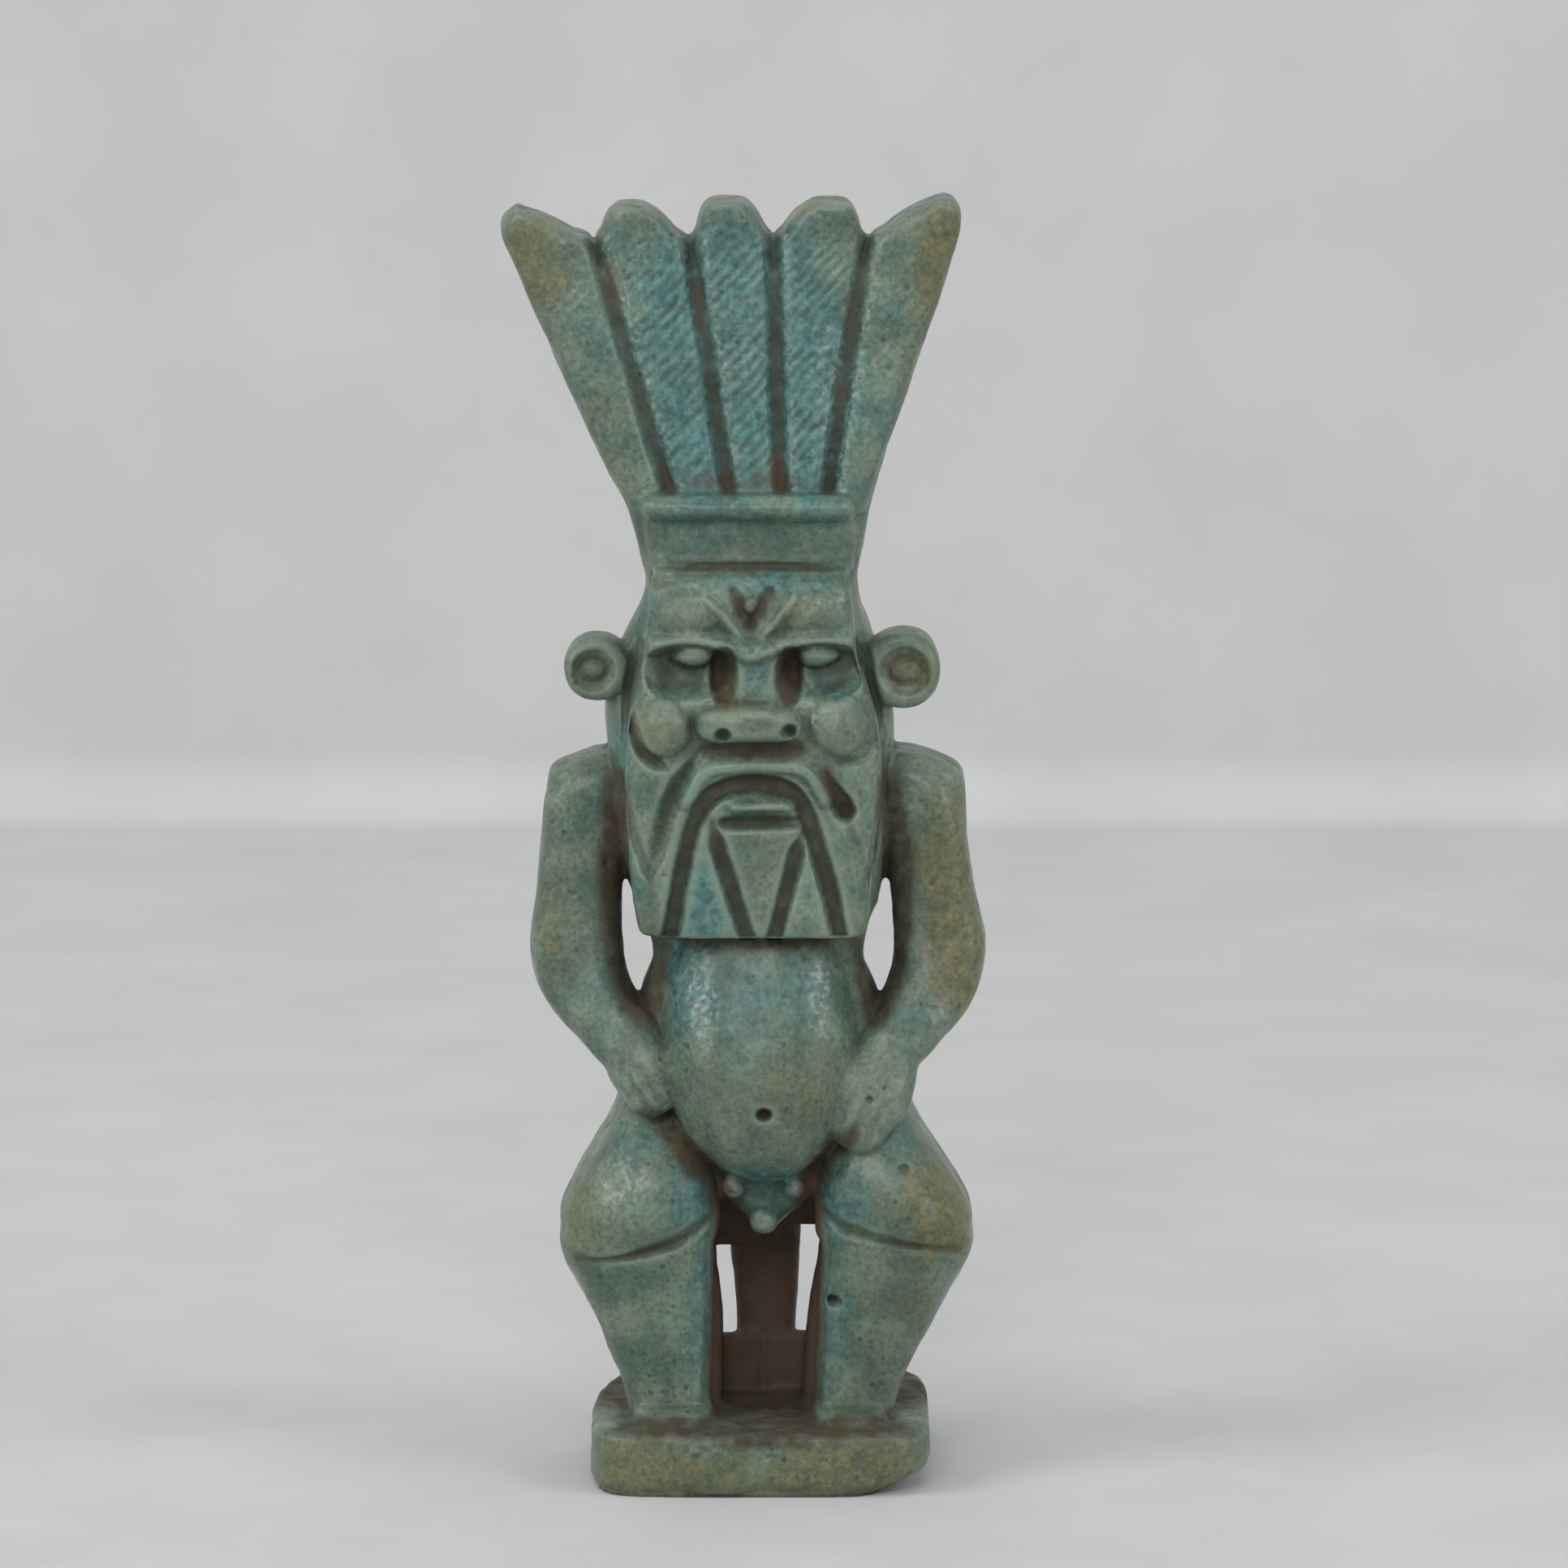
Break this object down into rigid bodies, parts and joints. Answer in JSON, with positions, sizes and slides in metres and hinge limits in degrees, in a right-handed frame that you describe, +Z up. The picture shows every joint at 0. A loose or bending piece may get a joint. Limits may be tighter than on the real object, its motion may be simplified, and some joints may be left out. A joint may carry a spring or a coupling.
{
  "type": "figurine",
  "caption": "Small moulded faience figurine of the dwarf god Bes in a plumed crown, hands on the belly, on its own plinth.",
  "frame": {"origin": "centre of the plinth's flat underside", "axes": "+Z up along the figure, from the plinth to the crown; -Y the way the figure faces; +X to the right of a viewer who faces the figure"},
  "size_m": [0.0172, 0.0118, 0.0456],
  "materials": {
    "faience": "weathered semi-gloss glaze, grey-green to turquoise, with brown dirt in the recesses and dark pores"
  },
  "bodies": {
    "root": {"figurine": "faience"}
  },
  "joints": []
}
